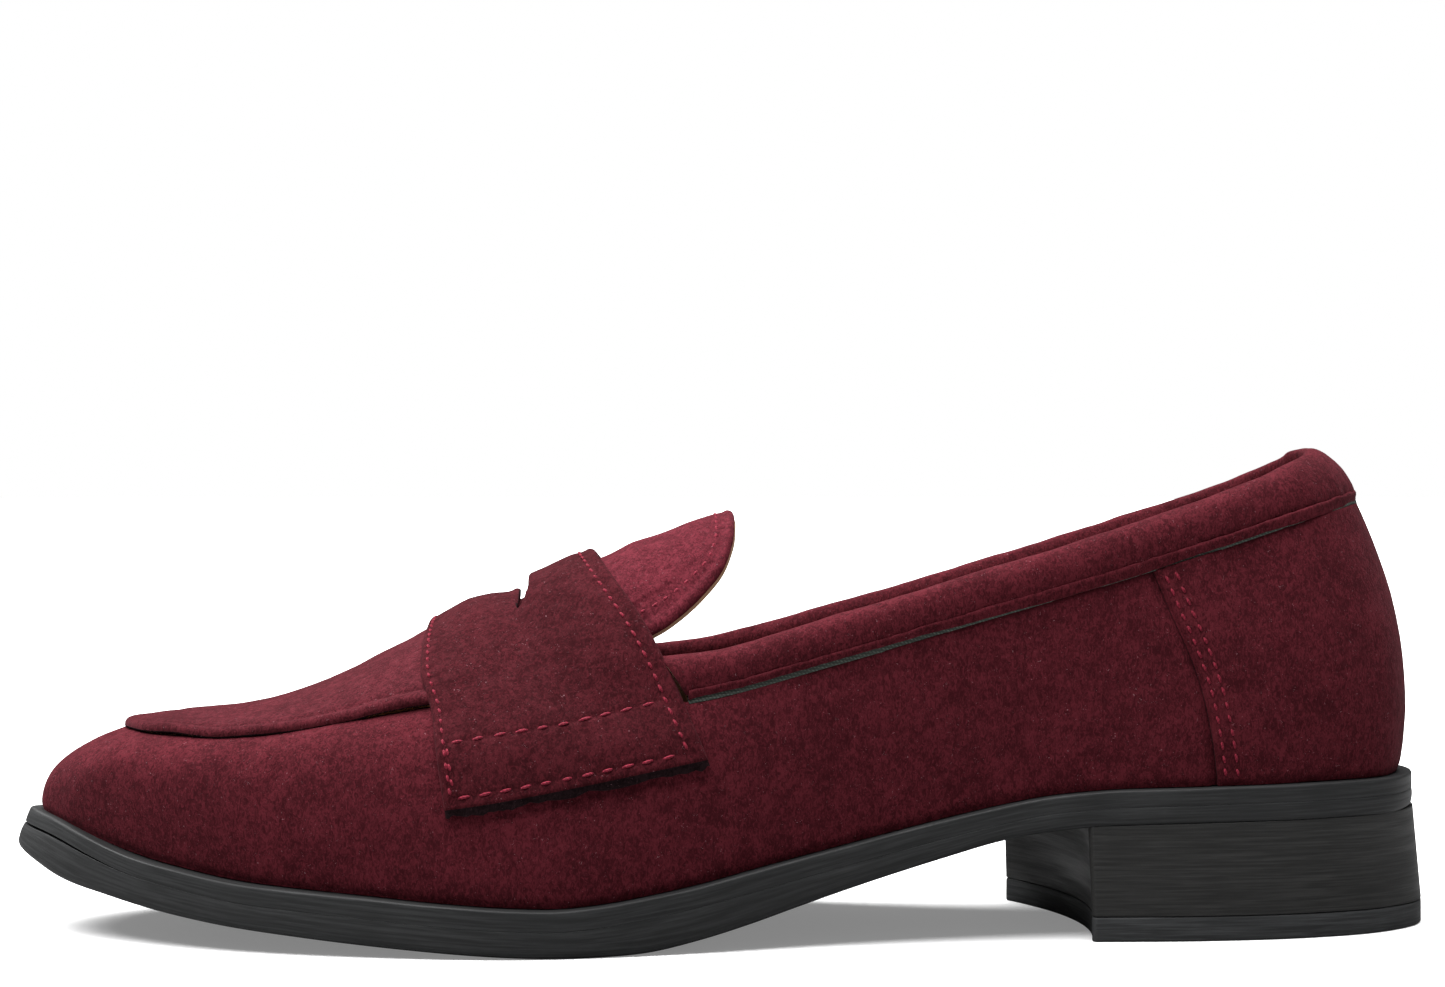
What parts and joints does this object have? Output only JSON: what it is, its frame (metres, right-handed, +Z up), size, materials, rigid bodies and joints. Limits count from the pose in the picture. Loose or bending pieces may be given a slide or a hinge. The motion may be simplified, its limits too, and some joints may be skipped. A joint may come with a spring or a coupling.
{
  "type": "penny loafer",
  "caption": "Slip-on penny loafer with raised apron, slotted saddle strap, tongue, padded collar, layered sole and low stacked-look heel.",
  "frame": {"origin": "on the ground under the middle of the shoe's length and width", "axes": "+X from toe to heel along the shoe, +Y towards the inner side of the foot, +Z up"},
  "size_m": [0.2656, 0.0881, 0.0895],
  "materials": {
    "suede": "matte napped microsuede, burgundy",
    "lining": "smooth tan synthetic lining",
    "sock": "smooth tan synthetic",
    "sole": "satin black moulded sole",
    "heel": "dark brown-black, fine stacked streaks",
    "lift": "matt blue-grey black",
    "steel": "plain steel",
    "foam": "soft foam",
    "board": "pressed fibre board",
    "filler": "felt",
    "stiffener": "thermoplastic sheet",
    "thread": "polyester thread, crimson",
    "tape": "dark woven tape"
  },
  "bodies": {
    "shoe": {"outsole": "sole", "midsole": "sole", "heel_block": "heel", "top_lift": "lift", "heel_nails": "steel", "lift_nails": "steel", "bottom_filler": "filler", "shank": "steel", "shank_rivets": "steel", "insole_board": "board", "footbed_foam": "foam", "sock_liner": "sock", "vamp": "suede", "heel_panel": "suede", "apron": "suede", "apron_lining": "lining", "apron_cord": "thread", "saddle_strap": "suede", "strap_backing": "tape", "strap_stitches": "thread", "toe_puff": "stiffener", "heel_counter": "stiffener", "vamp_lining": "lining", "quarter_lining_outer": "lining", "quarter_lining_inner": "lining", "heel_grip": "lining", "topline_collar": "suede", "collar_foam": "foam", "topline_piping": "suede", "topline_tape": "tape", "seam_stitches_outer": "thread", "seam_stitches_inner": "thread"},
    "tongue": {"tongue": "suede", "tongue_padding": "foam", "tongue_lining": "lining", "tongue_stitches": "thread"}
  },
  "joints": [
    {"name": "tongue_flex", "type": "hinge", "parent": "shoe", "child": "tongue", "pos_m": [-0.0262, 0, 0.066], "axis": [0, -1, 0], "range_deg": [-4, 14], "stiffness_Nm_per_rad": 0.05}
  ]
}
